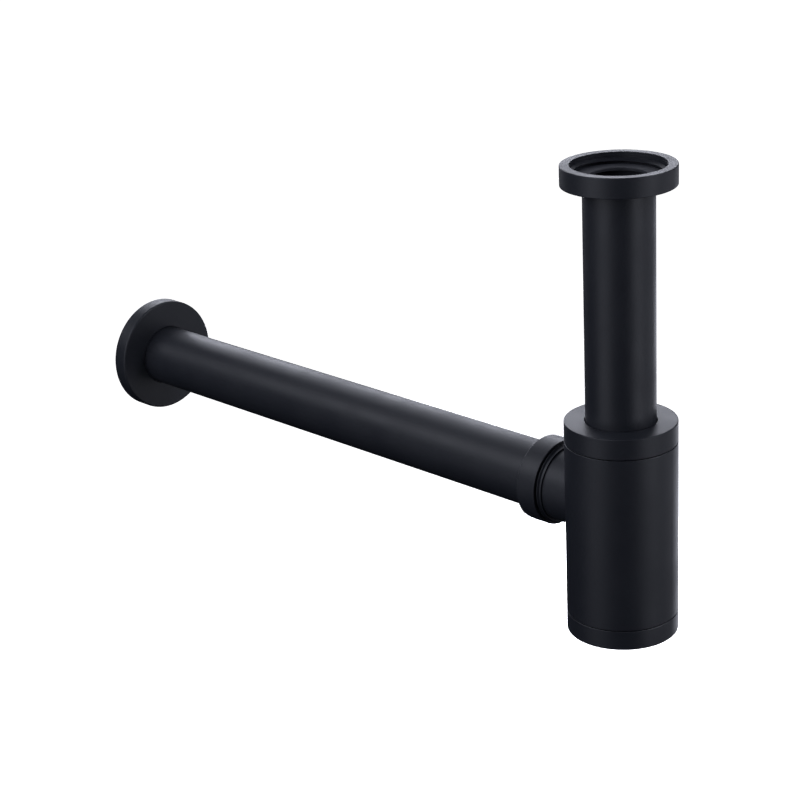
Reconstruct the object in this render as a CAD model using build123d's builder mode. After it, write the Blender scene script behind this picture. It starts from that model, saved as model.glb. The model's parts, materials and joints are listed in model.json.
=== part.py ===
from build123d import *
import os

os.makedirs("parts", exist_ok=True)

# All lengths are in millimetres.
# Z is up, along the inlet tube and the bottle. The outlet pipe runs along +Y to the wall.
# The origin is the centre of the inlet nut's mouth, so the whole trap hangs below Z = 0.

# heights along Z
BOTTLE_TOP = -117.5
OUTLET_Z = BOTTLE_TOP - 40.0

# broken edges
EDGE = 0.4
FINE_EDGE = 0.2

# the 32 mm tubes
TUBE_R = 16.0
TUBE_INNER_R = 14.8
TUBE_HOLE_R = 16.5
GRIP_R = 16.05

# inlet nut, washer and slip ring
INLET_NUT_R = 25.7
INLET_NUT_H = 9.2
LEAD_IN_R = 21.3
LEAD_IN_H = 1.2
INLET_FLOOR_H = 1.3
INLET_RING_R = 20.3
INLET_RING_H = 0.6
TUBE_FLANGE_R = 19.0
TUBE_FLANGE_H = 1.0
WASHER_R = 19.2
WASHER_HOLE_R = 12.6
WASHER_H = 1.4
TUBE_MOUTH_ROUND = 0.9
INLET_TUBE_L = 139.2

# G 1 1/4 internal thread of the inlet nut
PIPE_THREAD_MAJOR_R = 20.955
PIPE_THREAD_DEPTH = 1.48
PIPE_THREAD_START = 1.7
PIPE_RIB = {"pitch": 2.309, "turns": 1.75, "base": 1.92, "crest": 0.38}

# bottle, and the thread that the top nut and the clean-out cup share
BOTTLE_R = 25.7
BOTTLE_INNER_R = 24.0
SEAM = 0.4
NUT_H = 9.7
CUP_H = 9.2
BOTTLE_H = 102.7
BODY_THREAD_ROOT_R = 21.5
BODY_THREAD_MAJOR_R = 22.5
BODY_THREAD_DEPTH = 0.8
BODY_THREAD_START = 1.0
BODY_RIB = {"pitch": 1.5, "turns": 3.0, "base": 1.15, "crest": 0.25}
COLLAR_H = 6.2

# how far a thread's rib runs into the wall it stands on
ROOT_BURIED = 0.2

# top seal
NUT_PLATE_H = 2.2
NECK_RING_H = 5.0
CONE_MOUTH_R = 20.0
CONE_THROAT_R = 17.6
CONE_H = 4.0
THROAT_R = 17.0
THROAT_H = 1.6
SEAL_LIFT = 0.6
SLIP_RING_R = 21.0
SLIP_RING_H = 0.8

# dip tube inside the bottle
DIP_R = 18.3
DIP_INNER_R = 16.7
DIP_SOCKET_R = 18.6
DIP_SOCKET_H = 10.6
DIP_SOCKET_WALL = 1.8
DIP_TOP_GAP = 0.2
DIP_L = 78.4
ORING_R = 0.49
FIT_GAP = 0.01
ORING_DROP = 5.0
ORING_GROOVE_H = 1.4

# clean-out cup
CUP_FLOOR_H = 2.3
BASE_BORE_R = 19.5
GASKET_H = 1.1

# outlet spigot, nut and seal, as distances from the bottle's axis
SPIGOT_R = 17.5
SPIGOT_BORE_R = 14.0
SPIGOT_END_Y = 42.0
SOCKET_Y = 28.0
SOCKET_R = 16.3
OUTLET_NUT_R = 20.4
OUTLET_NUT_Y = 35.5
OUTLET_NUT_L = 10.8
OUTLET_PLATE_H = 2.0
OUTLET_SLEEVE_Y = 33.0
OUTLET_SLEEVE_R = 18.4
OUTLET_THREAD_Y = 34.1
OUTLET_THREAD_DEPTH = 0.8
OUTLET_THREAD_TURNS = 3.4
OUTLET_THREAD_PHASE = 180.0
OUTLET_NUT_BORE_R = 19.35
OUTLET_NUT_THREAD_DEPTH = 0.55
OUTLET_NUT_THREAD_TURNS = 2.5
OUTLET_NUT_LAG_TURNS = 1.5
OUTLET_RIB = {"pitch": 2.0, "base": 1.6, "crest": 0.3}
OUTLET_RING_H = 0.9
OUTLET_CONE_MOUTH_R = 17.3
OUTLET_CONE_H = 2.6
OUTLET_SEAL_R = 17.8
OUTLET_SEAL_H = 1.8

# wall pipe and wall flange
PIPE_START_Y = 32.0
PIPE_L = 320.0
FLANGE_R = 30.5
FLANGE_HOLE_R = 16.15
FLANGE_Y = 329.3
FLANGE_H = 8.2
FLANGE_SKIN = 1.5
HUB_R = 20.0
HUB_BORE_R = 18.05
HUB_SETBACK = 1.0
FLANGE_ROUND = 0.9
GRIP_RING_R = 18.0
GRIP_RING_L = 4.0
GRIP_GAP = 0.1

OUTLET_AXIS = Axis((0, 0, OUTLET_Z), (0, 1, 0))
# a sketch on this plane has its x along the outlet pipe and its y as the radius
OUTLET_PLANE = Plane(origin=(0, 0, OUTLET_Z), x_dir=(0, 1, 0), z_dir=(1, 0, 0))


def circle_at(shape, axis, end, place):
    """One circular edge. end: 0 first or -1 last along the axis. place: 0 inner or -1 outer."""
    circles = shape.edges().filter_by(GeomType.CIRCLE)
    return circles.group_by(axis)[end].sort_by(SortBy.RADIUS)[place]


def thread_rib(radius, depth, start, axis, pitch, turns, base, crest):
    """A right-hand helical rib standing on a cylinder. A negative depth points the rib inward."""
    centre = Vector(axis.position) + Vector(axis.direction) * start
    with BuildPart() as rib:
        with BuildLine() as path:
            Helix(
                pitch=pitch,
                height=pitch * turns,
                radius=radius,
                center=centre,
                direction=axis.direction,
            )
        outward = ((path.line @ 0) - centre).normalized()
        plane = Plane(origin=centre, x_dir=outward, z_dir=outward.cross(Vector(axis.direction)))
        slope = (base - crest) / 2 / abs(depth)
        root = radius - ROOT_BURIED if depth > 0 else radius + ROOT_BURIED
        half_root = base / 2 + slope * ROOT_BURIED
        with BuildSketch(plane):
            with BuildLine():
                Polyline(
                    (root, -half_root),
                    (radius + depth, -crest / 2),
                    (radius + depth, crest / 2),
                    (root, half_root),
                    close=True,
                )
            make_face()
        sweep(path=path.line, is_frenet=True)
    return rib.part


# inlet nut: a round nut that screws onto the basin waste

inlet_floor = INLET_FLOOR_H - INLET_NUT_H
inlet_thread = thread_rib(
    PIPE_THREAD_MAJOR_R,
    -PIPE_THREAD_DEPTH,
    inlet_floor + PIPE_THREAD_START,
    Axis.Z,
    **PIPE_RIB,
)
with BuildPart() as inlet_nut:
    with BuildSketch(Plane.XY.offset(-INLET_NUT_H)):
        Circle(INLET_NUT_R)
        Circle(TUBE_HOLE_R, mode=Mode.SUBTRACT)
    extrude(amount=INLET_NUT_H)
    with BuildSketch(Plane.XY.offset(inlet_floor)):
        Circle(PIPE_THREAD_MAJOR_R)
    extrude(amount=INLET_NUT_H, mode=Mode.SUBTRACT)
    with BuildSketch(Plane.XY.offset(-LEAD_IN_H)):
        Circle(LEAD_IN_R)
    extrude(amount=LEAD_IN_H, mode=Mode.SUBTRACT)
    fillet(circle_at(inlet_nut.part, Axis.Z, -1, -1), radius=EDGE)
    chamfer(circle_at(inlet_nut.part, Axis.Z, -1, 0), length=FINE_EDGE)
    fillet(circle_at(inlet_nut.part, Axis.Z, 0, -1), radius=EDGE)
    add(inlet_thread)
inlet_nut.part.label = "inlet_nut"
export_step(inlet_nut.part, "parts/inlet_nut.step")


# inlet slip ring: lets the nut turn without dragging the tube's flange

with BuildPart() as inlet_slip_ring:
    with BuildSketch(Plane.XY.offset(inlet_floor)):
        Circle(INLET_RING_R)
        Circle(GRIP_R, mode=Mode.SUBTRACT)
    extrude(amount=INLET_RING_H)
inlet_slip_ring.part.label = "inlet_slip_ring"
export_step(inlet_slip_ring.part, "parts/inlet_slip_ring.step")


# inlet tube: a plain tube with a turned-out flange at its top

flange_z = inlet_floor + INLET_RING_H
tube_top = flange_z + TUBE_FLANGE_H
with BuildPart() as inlet_tube:
    with BuildSketch(Plane.XY.offset(tube_top - INLET_TUBE_L)):
        Circle(TUBE_R)
    extrude(amount=INLET_TUBE_L)
    with BuildSketch(Plane.XY.offset(flange_z)):
        Circle(TUBE_FLANGE_R)
    extrude(amount=TUBE_FLANGE_H)
    with BuildSketch(Plane.XY.offset(tube_top - INLET_TUBE_L)):
        Circle(TUBE_INNER_R)
    extrude(amount=INLET_TUBE_L, mode=Mode.SUBTRACT)
    fillet(circle_at(inlet_tube.part, Axis.Z, -1, 0), radius=TUBE_MOUTH_ROUND)
    chamfer(circle_at(inlet_tube.part, Axis.Z, 0, -1), length=EDGE)
inlet_tube.part.label = "inlet_tube"
export_step(inlet_tube.part, "parts/inlet_tube.step")


# inlet washer: the flat seal that the basin waste presses on

with BuildPart() as inlet_washer:
    with BuildSketch(Plane.XY.offset(tube_top)):
        Circle(WASHER_R)
        Circle(WASHER_HOLE_R, mode=Mode.SUBTRACT)
    extrude(amount=WASHER_H)
    fillet(circle_at(inlet_washer.part, Axis.Z, -1, 0), radius=EDGE)
inlet_washer.part.label = "inlet_washer"
export_step(inlet_washer.part, "parts/inlet_washer.step")


# top nut: clamps the bottle onto the inlet tube

shell_top = BOTTLE_TOP - NUT_H - SEAM
neck_top = shell_top + COLLAR_H
half_pitch = BODY_RIB["pitch"] / 2
top_thread = thread_rib(
    BODY_THREAD_MAJOR_R,
    -BODY_THREAD_DEPTH,
    shell_top + BODY_THREAD_START + half_pitch,
    Axis.Z,
    **BODY_RIB,
)
with BuildPart() as top_nut:
    with BuildSketch(Plane.XY.offset(BOTTLE_TOP - NUT_H)):
        Circle(BOTTLE_R)
        Circle(TUBE_HOLE_R, mode=Mode.SUBTRACT)
    extrude(amount=NUT_H)
    with BuildSketch(Plane.XY.offset(BOTTLE_TOP - NUT_H)):
        Circle(BODY_THREAD_MAJOR_R)
    extrude(amount=NUT_H - NUT_PLATE_H, mode=Mode.SUBTRACT)
    fillet(circle_at(top_nut.part, Axis.Z, -1, -1), radius=EDGE)
    chamfer(circle_at(top_nut.part, Axis.Z, 0, -1), length=FINE_EDGE)
    add(top_thread)
top_nut.part.label = "top_nut"
export_step(top_nut.part, "parts/top_nut.step")


# top slip ring: under the top nut's plate

top_ring_z = BOTTLE_TOP - NUT_PLATE_H - SLIP_RING_H
with BuildPart() as top_slip_ring:
    with BuildSketch(Plane.XY.offset(top_ring_z)):
        Circle(SLIP_RING_R)
        Circle(TUBE_HOLE_R, mode=Mode.SUBTRACT)
    extrude(amount=SLIP_RING_H)
top_slip_ring.part.label = "top_slip_ring"
export_step(top_slip_ring.part, "parts/top_slip_ring.step")


# top cone seal: squeezed between the tube and the cone in the neck ring

seal_foot = neck_top - CONE_H + SEAL_LIFT
seal_foot_r = CONE_THROAT_R + (CONE_MOUTH_R - CONE_THROAT_R) * SEAL_LIFT / CONE_H
with BuildPart() as top_cone_seal:
    with BuildSketch(Plane.XZ):
        with BuildLine():
            Polyline(
                (GRIP_R, top_ring_z),
                (CONE_MOUTH_R, top_ring_z),
                (CONE_MOUTH_R, neck_top),
                (seal_foot_r, seal_foot),
                (GRIP_R, seal_foot),
                close=True,
            )
        make_face()
    revolve(axis=Axis.Z)
top_cone_seal.part.label = "top_cone_seal"
export_step(top_cone_seal.part, "parts/top_cone_seal.step")


# bottle neck ring: brazed into the shell, with the male thread, the cone and the dip tube's socket

socket_top = neck_top - CONE_H - THROAT_H
socket_outer_r = DIP_SOCKET_R + DIP_SOCKET_WALL
neck_thread = thread_rib(
    BODY_THREAD_ROOT_R,
    BODY_THREAD_DEPTH,
    shell_top + BODY_THREAD_START,
    Axis.Z,
    **BODY_RIB,
)
with BuildPart() as bottle_neck_ring:
    with BuildSketch(Plane.XZ):
        with BuildLine():
            Polyline(
                (CONE_MOUTH_R, neck_top),
                (BODY_THREAD_ROOT_R, neck_top),
                (BODY_THREAD_ROOT_R, shell_top),
                (BOTTLE_INNER_R, shell_top),
                (BOTTLE_INNER_R, shell_top - NECK_RING_H),
                (socket_outer_r, shell_top - NECK_RING_H),
                (socket_outer_r, socket_top - DIP_SOCKET_H),
                (DIP_SOCKET_R, socket_top - DIP_SOCKET_H),
                (DIP_SOCKET_R, socket_top),
                (THROAT_R, socket_top),
                (THROAT_R, neck_top - CONE_H),
                (CONE_THROAT_R, neck_top - CONE_H),
                close=True,
            )
        make_face()
    revolve(axis=Axis.Z)
    add(neck_thread)
bottle_neck_ring.part.label = "bottle_neck_ring"
export_step(bottle_neck_ring.part, "parts/bottle_neck_ring.step")


# bottle shell: the drawn outer cylinder with the hole for the outlet spigot

shell_bottom = BOTTLE_TOP - BOTTLE_H + CUP_H + SEAM
with BuildPart() as bottle_shell:
    with BuildSketch(Plane.XY.offset(shell_bottom)):
        Circle(BOTTLE_R)
        Circle(BOTTLE_INNER_R, mode=Mode.SUBTRACT)
    extrude(amount=shell_top - shell_bottom)
    chamfer(circle_at(bottle_shell.part, Axis.Z, -1, -1), length=FINE_EDGE)
    chamfer(circle_at(bottle_shell.part, Axis.Z, 0, -1), length=FINE_EDGE)
    with BuildSketch(Plane(origin=(0, 0, OUTLET_Z), x_dir=(1, 0, 0), z_dir=(0, 1, 0))):
        Circle(SPIGOT_R)
    extrude(amount=BOTTLE_R, mode=Mode.SUBTRACT)
bottle_shell.part.label = "bottle_shell"
export_step(bottle_shell.part, "parts/bottle_shell.step")


# bottle base ring: brazed into the bottom of the shell, with the male thread for the cup

collar_end = shell_bottom - COLLAR_H
base_axis = Axis((0, 0, shell_bottom), (0, 0, -1))
base_thread = thread_rib(
    BODY_THREAD_ROOT_R,
    BODY_THREAD_DEPTH,
    BODY_THREAD_START,
    base_axis,
    **BODY_RIB,
)
with BuildPart() as bottle_base_ring:
    with BuildSketch(Plane.XY.offset(shell_bottom)):
        Circle(BOTTLE_INNER_R)
    extrude(amount=NECK_RING_H)
    with BuildSketch(Plane.XY.offset(collar_end)):
        Circle(BODY_THREAD_ROOT_R)
    extrude(amount=COLLAR_H)
    with BuildSketch(Plane.XY.offset(collar_end)):
        Circle(BASE_BORE_R)
    extrude(amount=COLLAR_H + NECK_RING_H, mode=Mode.SUBTRACT)
    add(base_thread)
bottle_base_ring.part.label = "bottle_base_ring"
export_step(bottle_base_ring.part, "parts/bottle_base_ring.step")


# outlet spigot: brazed through the shell, with the socket, the cone and the male thread

spigot_start = BOTTLE_INNER_R / 2
spigot_thread = thread_rib(
    OUTLET_SLEEVE_R,
    OUTLET_THREAD_DEPTH,
    OUTLET_THREAD_Y,
    OUTLET_AXIS,
    turns=OUTLET_THREAD_TURNS,
    **OUTLET_RIB,
).rotate(OUTLET_AXIS, OUTLET_THREAD_PHASE)
with BuildPart() as outlet_spigot:
    with BuildSketch(OUTLET_PLANE):
        with BuildLine():
            Polyline(
                (spigot_start, SPIGOT_BORE_R),
                (spigot_start, SPIGOT_R),
                (OUTLET_SLEEVE_Y, SPIGOT_R),
                (OUTLET_SLEEVE_Y, OUTLET_SLEEVE_R),
                (SPIGOT_END_Y, OUTLET_SLEEVE_R),
                (SPIGOT_END_Y, OUTLET_CONE_MOUTH_R),
                (SPIGOT_END_Y - OUTLET_CONE_H, SOCKET_R),
                (SOCKET_Y, SOCKET_R),
                (SOCKET_Y, SPIGOT_BORE_R),
                close=True,
            )
        make_face()
    revolve(axis=OUTLET_AXIS)
    add(spigot_thread)
    with BuildSketch(Plane.XY.offset(OUTLET_Z - BOTTLE_R)):
        Circle(BOTTLE_INNER_R)
    extrude(amount=2 * BOTTLE_R, mode=Mode.SUBTRACT)
outlet_spigot.part.label = "outlet_spigot"
export_step(outlet_spigot.part, "parts/outlet_spigot.step")


# dip tube: carries the water down inside the bottle and makes the water seal

dip_top = socket_top - DIP_TOP_GAP
oring_z = dip_top - ORING_DROP
groove_r = DIP_SOCKET_R - 2 * ORING_R - FIT_GAP
with BuildPart() as dip_tube:
    with BuildSketch(Plane.XY.offset(dip_top - DIP_L)):
        Circle(DIP_R)
        Circle(DIP_INNER_R, mode=Mode.SUBTRACT)
    extrude(amount=DIP_L)
    with BuildSketch(Plane.XY.offset(oring_z - ORING_GROOVE_H / 2)):
        Circle(DIP_SOCKET_R)
        Circle(groove_r, mode=Mode.SUBTRACT)
    extrude(amount=ORING_GROOVE_H, mode=Mode.SUBTRACT)
    chamfer(circle_at(dip_tube.part, Axis.Z, -1, 0), length=EDGE)
dip_tube.part.label = "dip_tube"
export_step(dip_tube.part, "parts/dip_tube.step")


# dip tube O-ring

with BuildPart() as dip_tube_oring:
    with BuildSketch(Plane.XZ):
        with Locations(((groove_r + DIP_SOCKET_R) / 2, oring_z)):
            Circle(ORING_R)
    revolve(axis=Axis.Z)
dip_tube_oring.part.label = "dip_tube_oring"
export_step(dip_tube_oring.part, "parts/dip_tube_oring.step")


# clean-out cup: unscrews from the bottom of the bottle

cup_bottom = BOTTLE_TOP - BOTTLE_H
cup_top = cup_bottom + CUP_H
cup_thread = thread_rib(
    BODY_THREAD_MAJOR_R,
    -BODY_THREAD_DEPTH,
    BODY_THREAD_START + half_pitch,
    base_axis,
    **BODY_RIB,
)
with BuildPart() as cleanout_cup:
    with BuildSketch(Plane.XY.offset(cup_bottom)):
        Circle(BOTTLE_R)
    extrude(amount=CUP_H)
    with BuildSketch(Plane.XY.offset(cup_bottom + CUP_FLOOR_H)):
        Circle(BODY_THREAD_MAJOR_R)
    extrude(amount=CUP_H, mode=Mode.SUBTRACT)
    fillet(circle_at(cleanout_cup.part, Axis.Z, 0, -1), radius=EDGE)
    chamfer(circle_at(cleanout_cup.part, Axis.Z, -1, -1), length=FINE_EDGE)
    add(cup_thread)
cleanout_cup.part.label = "cleanout_cup"
export_step(cleanout_cup.part, "parts/cleanout_cup.step")


# cup gasket: between the end of the base ring and the cup's floor

with BuildPart() as cup_gasket:
    with BuildSketch(Plane.XY.offset(cup_bottom + CUP_FLOOR_H)):
        Circle(BODY_THREAD_ROOT_R)
        Circle(BASE_BORE_R, mode=Mode.SUBTRACT)
    extrude(amount=GASKET_H)
cup_gasket.part.label = "cup_gasket"
export_step(cup_gasket.part, "parts/cup_gasket.step")


# outlet nut: clamps the outlet pipe into the spigot

nut_thread_lag = OUTLET_NUT_LAG_TURNS * OUTLET_RIB["pitch"]
outlet_nut_thread = thread_rib(
    OUTLET_NUT_BORE_R,
    -OUTLET_NUT_THREAD_DEPTH,
    OUTLET_THREAD_Y + nut_thread_lag,
    OUTLET_AXIS,
    turns=OUTLET_NUT_THREAD_TURNS,
    **OUTLET_RIB,
).rotate(OUTLET_AXIS, OUTLET_THREAD_PHASE)
nut_far_y = OUTLET_NUT_Y + OUTLET_NUT_L
with BuildPart() as outlet_nut:
    with BuildSketch(OUTLET_PLANE):
        with BuildLine():
            Polyline(
                (OUTLET_NUT_Y, OUTLET_NUT_BORE_R),
                (OUTLET_NUT_Y, OUTLET_NUT_R),
                (nut_far_y, OUTLET_NUT_R),
                (nut_far_y, TUBE_HOLE_R),
                (nut_far_y - OUTLET_PLATE_H, TUBE_HOLE_R),
                (nut_far_y - OUTLET_PLATE_H, OUTLET_NUT_BORE_R),
                close=True,
            )
        make_face()
    revolve(axis=OUTLET_AXIS)
    fillet(circle_at(outlet_nut.part, OUTLET_AXIS, -1, -1), radius=EDGE)
    fillet(circle_at(outlet_nut.part, OUTLET_AXIS, 0, -1), radius=EDGE)
    add(outlet_nut_thread)
outlet_nut.part.label = "outlet_nut"
export_step(outlet_nut.part, "parts/outlet_nut.step")


# outlet slip ring: under the outlet nut's plate

outlet_ring_y = nut_far_y - OUTLET_PLATE_H - OUTLET_RING_H
with BuildPart() as outlet_slip_ring:
    with BuildSketch(OUTLET_PLANE):
        with BuildLine():
            Polyline(
                (outlet_ring_y, TUBE_HOLE_R),
                (outlet_ring_y, OUTLET_SEAL_R),
                (outlet_ring_y + OUTLET_RING_H, OUTLET_SEAL_R),
                (outlet_ring_y + OUTLET_RING_H, TUBE_HOLE_R),
                close=True,
            )
        make_face()
    revolve(axis=OUTLET_AXIS)
outlet_slip_ring.part.label = "outlet_slip_ring"
export_step(outlet_slip_ring.part, "parts/outlet_slip_ring.step")


# outlet cone seal: squeezed between the pipe and the cone in the spigot

outlet_cone_drop = (OUTLET_CONE_MOUTH_R - SOCKET_R) * OUTLET_SEAL_H / OUTLET_CONE_H
outlet_foot_r = OUTLET_CONE_MOUTH_R - outlet_cone_drop
with BuildPart() as outlet_cone_seal:
    with BuildSketch(OUTLET_PLANE):
        with BuildLine():
            Polyline(
                (outlet_ring_y, GRIP_R),
                (outlet_ring_y, OUTLET_SEAL_R),
                (SPIGOT_END_Y, OUTLET_SEAL_R),
                (SPIGOT_END_Y, OUTLET_CONE_MOUTH_R),
                (SPIGOT_END_Y - OUTLET_SEAL_H, outlet_foot_r),
                (SPIGOT_END_Y - OUTLET_SEAL_H, GRIP_R),
                close=True,
            )
        make_face()
    revolve(axis=OUTLET_AXIS)
outlet_cone_seal.part.label = "outlet_cone_seal"
export_step(outlet_cone_seal.part, "parts/outlet_cone_seal.step")


# outlet pipe: the plain pipe to the wall

with BuildPart() as outlet_pipe:
    with BuildSketch(Plane(origin=(0, PIPE_START_Y, OUTLET_Z), x_dir=(1, 0, 0), z_dir=(0, 1, 0))):
        Circle(TUBE_R)
        Circle(TUBE_INNER_R, mode=Mode.SUBTRACT)
    extrude(amount=PIPE_L)
    chamfer(circle_at(outlet_pipe.part, OUTLET_AXIS, -1, -1), length=EDGE)
    chamfer(circle_at(outlet_pipe.part, OUTLET_AXIS, 0, -1), length=EDGE)
outlet_pipe.part.label = "outlet_pipe"
export_step(outlet_pipe.part, "parts/outlet_pipe.step")


# wall flange: a hollow cover plate with a hub for the grip ring

flange_back = FLANGE_Y + FLANGE_H
with BuildPart() as wall_flange:
    with BuildSketch(OUTLET_PLANE):
        with BuildLine():
            Polyline(
                (FLANGE_Y, FLANGE_HOLE_R),
                (FLANGE_Y, FLANGE_R),
                (flange_back, FLANGE_R),
                (flange_back, FLANGE_R - FLANGE_SKIN),
                (FLANGE_Y + FLANGE_SKIN, FLANGE_R - FLANGE_SKIN),
                (FLANGE_Y + FLANGE_SKIN, HUB_R),
                (flange_back - HUB_SETBACK, HUB_R),
                (flange_back - HUB_SETBACK, HUB_BORE_R),
                (FLANGE_Y + FLANGE_SKIN, HUB_BORE_R),
                (FLANGE_Y + FLANGE_SKIN, FLANGE_HOLE_R),
                close=True,
            )
        make_face()
    revolve(axis=OUTLET_AXIS)
    fillet(circle_at(wall_flange.part, OUTLET_AXIS, 0, -1), radius=FLANGE_ROUND)
    chamfer(circle_at(wall_flange.part, OUTLET_AXIS, 0, 0), length=FINE_EDGE)
wall_flange.part.label = "wall_flange"
export_step(wall_flange.part, "parts/wall_flange.step")


# flange grip ring: the rubber ring that holds the flange on the pipe

grip_y = FLANGE_Y + FLANGE_SKIN + GRIP_GAP
with BuildPart() as flange_grip_ring:
    with BuildSketch(OUTLET_PLANE):
        with BuildLine():
            Polyline(
                (grip_y, GRIP_R),
                (grip_y, GRIP_RING_R),
                (grip_y + GRIP_RING_L, GRIP_RING_R),
                (grip_y + GRIP_RING_L, GRIP_R),
                close=True,
            )
        make_face()
    revolve(axis=OUTLET_AXIS)
flange_grip_ring.part.label = "flange_grip_ring"
export_step(flange_grip_ring.part, "parts/flange_grip_ring.step")
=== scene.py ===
import json
import math

import bpy
from mathutils import Matrix, Vector


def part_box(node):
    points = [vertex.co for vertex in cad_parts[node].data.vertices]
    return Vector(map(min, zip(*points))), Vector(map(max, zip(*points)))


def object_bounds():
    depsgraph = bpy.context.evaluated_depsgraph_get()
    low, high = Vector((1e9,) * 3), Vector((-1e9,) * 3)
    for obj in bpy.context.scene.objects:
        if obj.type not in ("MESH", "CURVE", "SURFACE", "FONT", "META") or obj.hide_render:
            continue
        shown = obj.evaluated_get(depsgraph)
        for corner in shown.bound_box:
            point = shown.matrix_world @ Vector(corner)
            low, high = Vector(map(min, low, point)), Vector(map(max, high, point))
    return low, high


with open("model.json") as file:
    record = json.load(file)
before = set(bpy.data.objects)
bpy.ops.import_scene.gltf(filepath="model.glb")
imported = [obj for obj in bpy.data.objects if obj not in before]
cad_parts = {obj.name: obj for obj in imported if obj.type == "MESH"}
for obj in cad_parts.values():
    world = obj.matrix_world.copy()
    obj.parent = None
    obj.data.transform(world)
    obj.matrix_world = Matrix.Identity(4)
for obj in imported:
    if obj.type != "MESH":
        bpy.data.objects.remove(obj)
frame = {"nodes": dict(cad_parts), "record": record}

# All lengths are in metres, in the part's own frame.
# Z runs up the inlet tube and Y along the wall pipe.

MM = 0.001

cad_low, cad_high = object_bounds()
cad_centre = (cad_low + cad_high) / 2

# axes of the turned pieces: the letter of the direction and a point on the axis
pipe_low, pipe_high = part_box("outlet_pipe")
INLET_AXIS = ("Z", Vector((0, 0, 0)))
OUTLET_AXIS = ("Y", Vector((0, 0, (pipe_low.z + pipe_high.z) / 2)))

# camera: the aim is measured from the centre of the CAD box
CAMERA_AZIMUTH = -43.8
CAMERA_ELEVATION = 20.4
CAMERA_ROLL = -2.79
CAMERA_DISTANCE = 1.033
CAMERA_LENS = 92.83
CAMERA_NEAR = 0.01
SENSOR_WIDTH = 36.0
AIM_OFFSET = Vector((2.0, -18.7, -32.4)) * MM

# studio
FLOOR_DROP = 0.5
FLOOR_HALF_WIDTH = 15.0
FLOOR_WHITE = 0.9
FLOOR_ROUGHNESS = 0.9
FLOOR_GLOW = 1.1
LIGHT_DISTANCE = 1.3
LIGHT_COLOUR = (0.975, 1.0, 1.125)
WATTS_PER_SQUARE_METRE = 26.0

# powder coat
COAT_DEEP = (0.0140, 0.0160, 0.0220)
COAT_LIFTED = (0.0190, 0.0215, 0.0285)
# painted highlight: the lighter colour that the coat's outer edges are lifted towards
COAT_EDGE_HIGHLIGHT = (0.0300, 0.0325, 0.0390)
COAT_SPECKLE_SPAN = (0.35, 0.70)
COAT_ROUGHNESS = (0.42, 0.49)
COAT_CLOUD_SIZE = 22.0 * MM
COAT_PEEL_SIZE = 0.9 * MM
COAT_PEEL_DEPTH = 6e-6
COAT_GRAIN_SIZE = 0.16 * MM
COAT_GRAIN_DEPTH = 2.5e-6
COAT_GRAIN_ROUGHNESS = 0.02
COAT_EDGE_WIDTH = 0.5 * MM
# how much of the painted edge highlight the outer edges take
COAT_EDGE_HIGHLIGHT_SHARE = 0.6
COAT_EDGE_POLISH = 0.06

# the bare inside of the coated tubes
# A point within TUBE_BORE_R of the tube's axis is on its inside.
# OVERSPRAY is how far the spray reaches in from each mouth, and how raggedly it ends.
TUBE_BRASS = (0.46, 0.33, 0.17)
TUBE_ROUGHNESS = 0.42
TUBE_BORE_R = 15.3 * MM
OVERSPRAY = 12.0 * MM

# turned brass
BRASS = (0.80, 0.57, 0.26)
BRASS_TARNISHED = (0.55, 0.37, 0.16)
BRASS_ROUGHNESS = (0.24, 0.38)
TARNISH_SIZE = 7.0 * MM
TARNISH_SPAN = (0.4, 0.75)
TARNISH_SHARE = 0.8
BRASS_RING_SIZE = 0.14 * MM
BRASS_RING_DEPTH = 9e-6

# sealing rubber
RUBBER_DEEP = (0.034, 0.036, 0.045)
RUBBER_BLOOM = (0.060, 0.063, 0.073)
RUBBER_ROUGHNESS = (0.55, 0.70)
BLOOM_SIZE = 5.0 * MM
BLOOM_SPAN = (0.45, 0.8)
BLOOM_SHARE = 0.7
RUBBER_GRAIN_SIZE = 0.22 * MM
RUBBER_GRAIN_DEPTH = 8e-6

# nylon
NYLON = (0.72, 0.71, 0.67)
NYLON_SHADE = (0.62, 0.60, 0.55)
NYLON_ROUGHNESS = (0.40, 0.50)
NYLON_CLOUD_SIZE = 6.0 * MM
NYLON_RING_SIZE = 0.25 * MM
NYLON_RING_DEPTH = 5e-6
NYLON_GLOW = 0.2
NYLON_GLOW_DEPTH = 0.5 * MM

# extruded plastic
PLASTIC = (0.36, 0.37, 0.38)
PLASTIC_SHADE = (0.29, 0.30, 0.31)
PLASTIC_ROUGHNESS = (0.34, 0.46)
PLASTIC_CLOUD_SIZE = 12.0 * MM
DIE_LINE_SIZE = (0.5 * MM, 0.5 * MM, 60.0 * MM)
DIE_LINE_DEPTH = 10e-6

# the dot product of the rounded and the true normal where an edge begins to show, and where it is full
EDGE_START = 0.995
EDGE_FULL = 0.90
EDGE_SAMPLES = 6

# the range that holds most of a noise's values
NOISE_SPAN = (0.3, 0.7)


# node helpers

def new_material(name):
    """A material with a Principled shader: the material, its tree and the shader."""
    material = bpy.data.materials.new(name)
    material.use_nodes = True
    tree = material.node_tree
    return material, tree, tree.nodes["Principled BSDF"]


def link(tree, value, socket):
    """Puts a number, a vector or another node's output on a socket."""
    if isinstance(value, bpy.types.NodeSocket):
        tree.links.new(value, socket)
    else:
        socket.default_value = value


def place(tree):
    """Where a point lies in the part's frame. It moves with the piece."""
    return tree.nodes.new("ShaderNodeTexCoord").outputs["Object"]


def maths(tree, operation, *values):
    """One Math node."""
    made = tree.nodes.new("ShaderNodeMath")
    made.operation = operation
    for value, socket in zip(values, made.inputs):
        link(tree, value, socket)
    return made.outputs["Value"]


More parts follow.
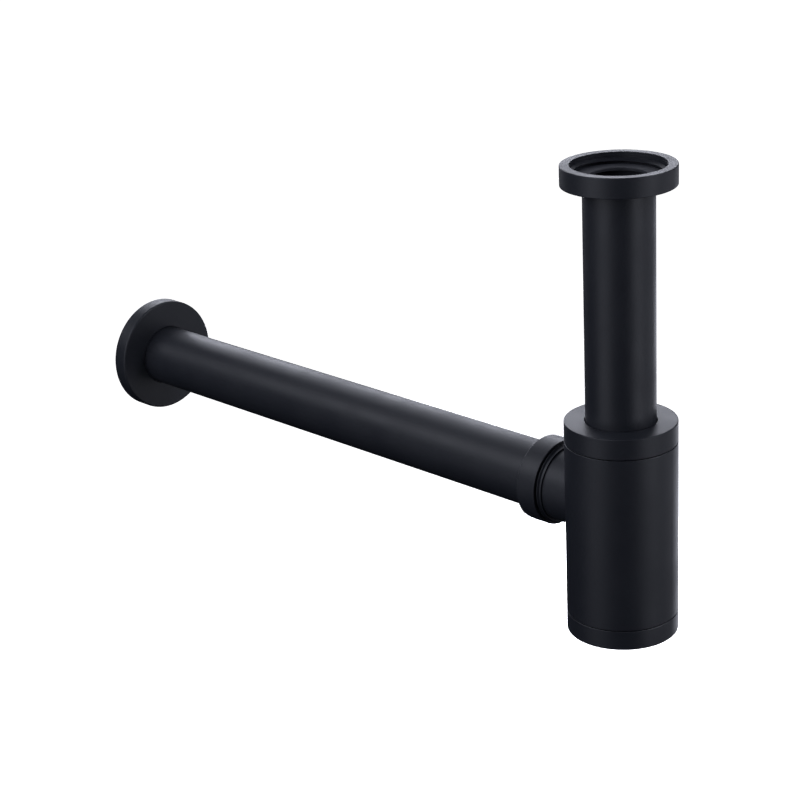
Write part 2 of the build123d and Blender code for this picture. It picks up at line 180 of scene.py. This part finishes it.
def noise(tree, vector, grain, detail=2.0):
    """Noise with grains of about the given size. Three sizes give a stretched pattern."""
    scaled = tree.nodes.new("ShaderNodeVectorMath")
    scaled.operation = "DIVIDE"
    link(tree, vector, scaled.inputs[0])
    scaled.inputs[1].default_value = grain if isinstance(grain, tuple) else (grain, grain, grain)
    made = tree.nodes.new("ShaderNodeTexNoise")
    made.inputs["Scale"].default_value = 1.0
    made.inputs["Detail"].default_value = detail
    link(tree, scaled.outputs["Vector"], made.inputs["Vector"])
    return made.outputs["Fac"]


def spread(tree, value, low, high, new_low, new_high):
    """Maps low..high to new_low..new_high, clamped and eased at both ends."""
    made = tree.nodes.new("ShaderNodeMapRange")
    made.interpolation_type = "SMOOTHSTEP"
    numbers = {
        "Value": value,
        "From Min": low,
        "From Max": high,
        "To Min": new_low,
        "To Max": new_high,
    }
    for socket, number in numbers.items():
        link(tree, number, made.inputs[socket])
    return made.outputs["Result"]


def blend(tree, share, first, second):
    """Mixes two colours, each a tuple of three or another node's output."""
    made = tree.nodes.new("ShaderNodeMix")
    made.data_type = "RGBA"
    link(tree, share, made.inputs[0])
    for colour, socket in ((first, made.inputs[6]), (second, made.inputs[7])):
        link(tree, colour if isinstance(colour, bpy.types.NodeSocket) else (*colour, 1.0), socket)
    return made.outputs[2]


def mix_number(tree, share, first, second):
    """Mixes two numbers."""
    made = tree.nodes.new("ShaderNodeMix")
    link(tree, share, made.inputs[0])
    link(tree, first, made.inputs[2])
    link(tree, second, made.inputs[3])
    return made.outputs[0]


def relief(tree, shader, layers):
    """Stacks bumps on the shader's normal. Each layer is a height and its depth in metres."""
    normal = None
    for height, depth in layers:
        made = tree.nodes.new("ShaderNodeBump")
        made.inputs["Distance"].default_value = depth
        link(tree, height, made.inputs["Height"])
        if normal is not None:
            link(tree, normal, made.inputs["Normal"])
        normal = made.outputs["Normal"]
    link(tree, normal, shader.inputs["Normal"])


def round_axis(tree, vector, axis):
    """Distance from the axis and place along it, for patterns that run round a turned piece."""
    letter, origin = axis
    moved = tree.nodes.new("ShaderNodeVectorMath")
    moved.operation = "SUBTRACT"
    link(tree, vector, moved.inputs[0])
    moved.inputs[1].default_value = origin
    parts = tree.nodes.new("ShaderNodeSeparateXYZ")
    link(tree, moved.outputs["Vector"], parts.inputs["Vector"])
    across = "Y" if letter == "Z" else "Z"
    squares = [maths(tree, "MULTIPLY", parts.outputs[c], parts.outputs[c]) for c in ("X", across)]
    radius = maths(tree, "SQRT", maths(tree, "ADD", *squares))
    return radius, parts.outputs[letter]


def turned_marks(tree, vector, axis, size):
    """The fine rings that a lathe tool leaves: noise that changes only outward and along the axis."""
    radius, along = round_axis(tree, vector, axis)
    both = tree.nodes.new("ShaderNodeCombineXYZ")
    link(tree, radius, both.inputs["X"])
    link(tree, along, both.inputs["Y"])
    return noise(tree, both.outputs["Vector"], size, detail=3.0)


def edges(tree, width):
    """1 on an outer edge and 0 on plain faces: how far the rounded normal leans from the true one."""
    soft = tree.nodes.new("ShaderNodeBevel")
    soft.samples = EDGE_SAMPLES
    soft.inputs["Radius"].default_value = width
    true = tree.nodes.new("ShaderNodeNewGeometry")
    lean = tree.nodes.new("ShaderNodeVectorMath")
    lean.operation = "DOT_PRODUCT"
    link(tree, soft.outputs["Normal"], lean.inputs[0])
    link(tree, true.outputs["Normal"], lean.inputs[1])
    return spread(tree, lean.outputs["Value"], EDGE_START, EDGE_FULL, 0.0, 1.0)


# materials

def bare_inside(tree, here, cloud, node, axis):
    """1 on the bare inside of a coated tube, fading raggedly into the overspray at both mouths."""
    low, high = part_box(node)
    letter = axis[0].lower()
    start = getattr(low, letter) + OVERSPRAY
    end = getattr(high, letter) - OVERSPRAY
    radius, along = round_axis(tree, here, axis)
    inside = maths(tree, "LESS_THAN", radius, TUBE_BORE_R)
    drift = maths(tree, "MULTIPLY", maths(tree, "SUBTRACT", cloud, 0.5), OVERSPRAY)
    ragged = maths(tree, "ADD", along, drift)
    past_start = spread(tree, ragged, start, start + OVERSPRAY, 0.0, 1.0)
    before_end = spread(tree, ragged, end - OVERSPRAY, end, 1.0, 0.0)
    return maths(tree, "MULTIPLY", inside, maths(tree, "MULTIPLY", past_start, before_end))


def powder_coat(name, tube=None):
    """Black powder coat. tube is the (node, axis) of a coated tube, whose inside is bare brass."""
    material, tree, shader = new_material(name)
    here = place(tree)
    cloud = noise(tree, here, COAT_CLOUD_SIZE)
    peel = noise(tree, here, COAT_PEEL_SIZE)
    grain = noise(tree, here, COAT_GRAIN_SIZE, detail=3.0)
    # outer edges: they get a painted highlight in colour and a little less roughness
    edge_mask = edges(tree, COAT_EDGE_WIDTH)
    speckle = spread(tree, grain, *COAT_SPECKLE_SPAN, 0.0, 1.0)
    colour = blend(tree, speckle, COAT_DEEP, COAT_LIFTED)
    # painted highlight: the outer edges are lightened towards the edge colour
    colour = blend(tree, maths(tree, "MULTIPLY", edge_mask, COAT_EDGE_HIGHLIGHT_SHARE), colour, COAT_EDGE_HIGHLIGHT)
    rough = spread(tree, cloud, *NOISE_SPAN, *COAT_ROUGHNESS)
    fine = spread(tree, grain, *NOISE_SPAN, -COAT_GRAIN_ROUGHNESS, COAT_GRAIN_ROUGHNESS)
    rough = maths(tree, "ADD", rough, fine)
    rough = maths(tree, "SUBTRACT", rough, maths(tree, "MULTIPLY", edge_mask, COAT_EDGE_POLISH))
    if tube is not None:
        bare = bare_inside(tree, here, cloud, *tube)
        colour = blend(tree, bare, colour, TUBE_BRASS)
        rough = mix_number(tree, bare, rough, TUBE_ROUGHNESS)
        link(tree, bare, shader.inputs["Metallic"])
    link(tree, colour, shader.inputs["Base Color"])
    link(tree, rough, shader.inputs["Roughness"])
    relief(tree, shader, [(peel, COAT_PEEL_DEPTH), (grain, COAT_GRAIN_DEPTH)])
    return material


def machined_brass(name, axis):
    """Turned brass: fine rings round the axis and a little tarnish."""
    material, tree, shader = new_material(name)
    here = place(tree)
    rings = turned_marks(tree, here, axis, BRASS_RING_SIZE)
    tarnish = noise(tree, here, TARNISH_SIZE, detail=4.0)
    stain = spread(tree, tarnish, *TARNISH_SPAN, 0.0, TARNISH_SHARE)
    link(tree, blend(tree, stain, BRASS, BRASS_TARNISHED), shader.inputs["Base Color"])
    link(tree, spread(tree, tarnish, *NOISE_SPAN, *BRASS_ROUGHNESS), shader.inputs["Roughness"])
    shader.inputs["Metallic"].default_value = 1.0
    relief(tree, shader, [(rings, BRASS_RING_DEPTH)])
    return material


def moulded_rubber(name):
    """Black sealing rubber: matte, with a faint grey bloom and a fine moulded grain."""
    material, tree, shader = new_material(name)
    here = place(tree)
    bloom = noise(tree, here, BLOOM_SIZE, detail=4.0)
    grain = noise(tree, here, RUBBER_GRAIN_SIZE, detail=3.0)
    dust = spread(tree, bloom, *BLOOM_SPAN, 0.0, BLOOM_SHARE)
    link(tree, blend(tree, dust, RUBBER_DEEP, RUBBER_BLOOM), shader.inputs["Base Color"])
    link(tree, spread(tree, bloom, *NOISE_SPAN, *RUBBER_ROUGHNESS), shader.inputs["Roughness"])
    relief(tree, shader, [(grain, RUBBER_GRAIN_DEPTH)])
    return material


def turned_nylon(name, axis):
    """Off-white nylon, slightly translucent, with faint turning rings."""
    material, tree, shader = new_material(name)
    here = place(tree)
    rings = turned_marks(tree, here, axis, NYLON_RING_SIZE)
    cloud = noise(tree, here, NYLON_CLOUD_SIZE)
    link(tree, blend(tree, cloud, NYLON, NYLON_SHADE), shader.inputs["Base Color"])
    link(tree, spread(tree, cloud, *NOISE_SPAN, *NYLON_ROUGHNESS), shader.inputs["Roughness"])
    shader.inputs["Subsurface Weight"].default_value = NYLON_GLOW
    shader.inputs["Subsurface Scale"].default_value = NYLON_GLOW_DEPTH
    relief(tree, shader, [(rings, NYLON_RING_DEPTH)])
    return material


def extruded_plastic(name):
    """Grey extruded tube: faint die lines along Z."""
    material, tree, shader = new_material(name)
    here = place(tree)
    lines = noise(tree, here, DIE_LINE_SIZE, detail=3.0)
    cloud = noise(tree, here, PLASTIC_CLOUD_SIZE)
    link(tree, blend(tree, cloud, PLASTIC, PLASTIC_SHADE), shader.inputs["Base Color"])
    link(tree, spread(tree, lines, *NOISE_SPAN, *PLASTIC_ROUGHNESS), shader.inputs["Roughness"])
    relief(tree, shader, [(lines, DIE_LINE_DEPTH)])
    return material


brass = machined_brass("machined_brass", INLET_AXIS)
upright_nylon = turned_nylon("nylon_upright", INLET_AXIS)
special_finishes = {
    "inlet_tube": powder_coat("black_powder_coat_inlet_tube", ("inlet_tube", INLET_AXIS)),
    "outlet_pipe": powder_coat("black_powder_coat_wall_pipe", ("outlet_pipe", OUTLET_AXIS)),
    "bottle_neck_ring": brass,
    "bottle_base_ring": brass,
    "inlet_slip_ring": upright_nylon,
    "top_slip_ring": upright_nylon,
    "outlet_slip_ring": turned_nylon("nylon_level", OUTLET_AXIS),
    "dip_tube": extruded_plastic("grey_plastic_tube"),
}
finishes_by_slot = {
    "black_coating": powder_coat("black_powder_coat"),
    "seal_rubber": moulded_rubber("black_rubber"),
}
for subpart in frame["record"]["subparts"]:
    node = subpart["node"]
    finish = special_finishes.get(node) or finishes_by_slot[subpart["material_slot"]]
    slots = frame["nodes"][node].data.materials
    for i in range(len(slots)):
        slots[i] = finish


# floor

def white_floor():
    """A glowing white floor. The object doesn't see it, so its undersides stay dark."""
    material, tree, shader = new_material("white_floor")
    shader.inputs["Base Color"].default_value = (FLOOR_WHITE, FLOOR_WHITE, FLOOR_WHITE, 1.0)
    shader.inputs["Roughness"].default_value = FLOOR_ROUGHNESS
    shader.inputs["Emission Color"].default_value = (1.0, 1.0, 1.0, 1.0)
    shader.inputs["Emission Strength"].default_value = FLOOR_GLOW
    height = cad_low.z - FLOOR_DROP
    w = FLOOR_HALF_WIDTH
    corners = [(-w, -w, height), (w, -w, height), (w, w, height), (-w, w, height)]
    mesh = bpy.data.meshes.new("floor")
    mesh.from_pydata(corners, [], [(0, 1, 2, 3)])
    mesh.materials.append(material)
    floor = bpy.data.objects.new("floor", mesh)
    bpy.context.scene.collection.objects.link(floor)
    floor.visible_diffuse = False
    floor.visible_glossy = False


white_floor()


# light

def direction(azimuth, elevation):
    """From the object outward, in degrees. Azimuth 0 is where a camera that looks along +Y stands."""
    a = math.radians(azimuth)
    e = math.radians(elevation)
    return Vector((math.sin(a) * math.cos(e), -math.cos(a) * math.cos(e), math.sin(e)))


def softbox(name, azimuth, elevation, width, height, brightness):
    """A soft panel that faces the object. brightness is relative, per square metre of panel."""
    light = bpy.data.lights.new(name, "AREA")
    light.shape = "RECTANGLE"
    light.size = width
    light.size_y = height
    light.energy = brightness * WATTS_PER_SQUARE_METRE * width * height
    light.color = LIGHT_COLOUR
    panel = bpy.data.objects.new(name, light)
    bpy.context.scene.collection.objects.link(panel)
    out = direction(azimuth, elevation)
    panel.location = cad_centre + out * LIGHT_DISTANCE
    panel.rotation_mode = "QUATERNION"
    panel.rotation_quaternion = out.to_track_quat("Z", "Y")
    panel.visible_camera = False


# The camera stands at azimuth -43.8, so the back panels face it from behind the object.
softbox("back", 135, 5, 1.25, 0.62, 0.04)
softbox("back_strip", 135, 16, 1.25, 0.20, 0.75)
softbox("back_left", 170, 5, 0.40, 0.60, 0.17)
softbox("back_high", 135, 40, 1.25, 0.75, 0.14)
softbox("right_high", 30, 35, 0.65, 0.65, 0.37)
softbox("right", 50, -12, 0.75, 0.90, 0.06)
softbox("right_low", 93, -25, 0.60, 0.62, 0.22)
softbox("front", 8, -8, 0.75, 0.85, 0.13)
softbox("front_left", 290, 20, 0.60, 0.60, 0.16)
softbox("left", 265, -5, 0.90, 0.95, 0.11)
softbox("left_high", 245, 35, 1.40, 0.62, 0.235)
softbox("top", 226, 60, 0.90, 0.60, 0.07)
softbox("back_low", 126, -20, 0.30, 0.40, 2.5)

world = bpy.data.worlds.new("white")
world.use_nodes = True
world.node_tree.nodes["Background"].inputs["Color"].default_value = (1.0, 1.0, 1.0, 1.0)
bpy.context.scene.world = world
world.cycles_visibility.diffuse = False
world.cycles_visibility.glossy = False
bpy.context.scene.view_settings.view_transform = "Standard"


# camera

def aim_camera():
    """Puts the camera at its distance from the aim, rolled about its line of sight."""
    back = direction(CAMERA_AZIMUTH, CAMERA_ELEVATION)
    level_right = direction(CAMERA_AZIMUTH + 90, 0)
    level_up = back.cross(level_right)
    roll = math.radians(CAMERA_ROLL)
    right = level_right * math.cos(roll) + level_up * math.sin(roll)
    up = level_up * math.cos(roll) - level_right * math.sin(roll)
    data = bpy.data.cameras.new("camera")
    data.lens = CAMERA_LENS
    data.sensor_width = SENSOR_WIDTH
    data.clip_start = CAMERA_NEAR
    camera = bpy.data.objects.new("camera", data)
    bpy.context.scene.collection.objects.link(camera)
    spot = cad_centre + AIM_OFFSET + back * CAMERA_DISTANCE
    turn = Matrix((right, up, back)).transposed().to_4x4()
    camera.matrix_world = Matrix.Translation(spot) @ turn
    bpy.context.scene.camera = camera


aim_camera()
